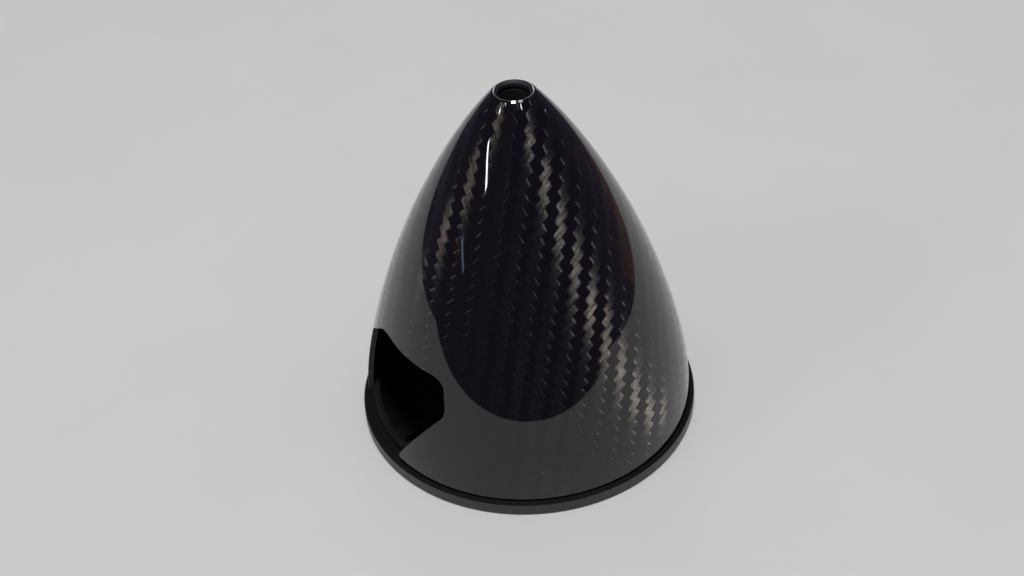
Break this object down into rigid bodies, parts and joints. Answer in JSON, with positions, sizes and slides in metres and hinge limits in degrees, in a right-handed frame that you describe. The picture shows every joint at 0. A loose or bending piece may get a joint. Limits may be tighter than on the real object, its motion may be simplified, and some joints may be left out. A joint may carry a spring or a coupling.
{
  "type": "propeller spinner",
  "caption": "Pointed propeller spinner: gloss twill carbon cone with blade windows and open nose, on a spoked black anodised backplate, clamped by a central screw.",
  "frame": {"origin": "centre of the backplate's underside, on the shaft axis", "axes": "+Z along the shaft axis towards the nose, +X along the blade axis through the middle of both windows"},
  "size_m": [0.0888, 0.0888, 0.0958],
  "materials": {
    "carbon_laminate": "2x2 twill carbon fibre under polished clear coat",
    "anodised_plate": "matt black anodised, turned and milled",
    "anodised_bush": "matt black anodised, turned",
    "washer_steel": "zinc-plated",
    "screw_steel": "black oxide"
  },
  "bodies": {
    "root": {"spinner_cone": "carbon_laminate", "backplate": "anodised_plate", "nose_bush": "anodised_bush", "screw_washer": "washer_steel", "fixing_screw": "screw_steel"}
  },
  "joints": []
}
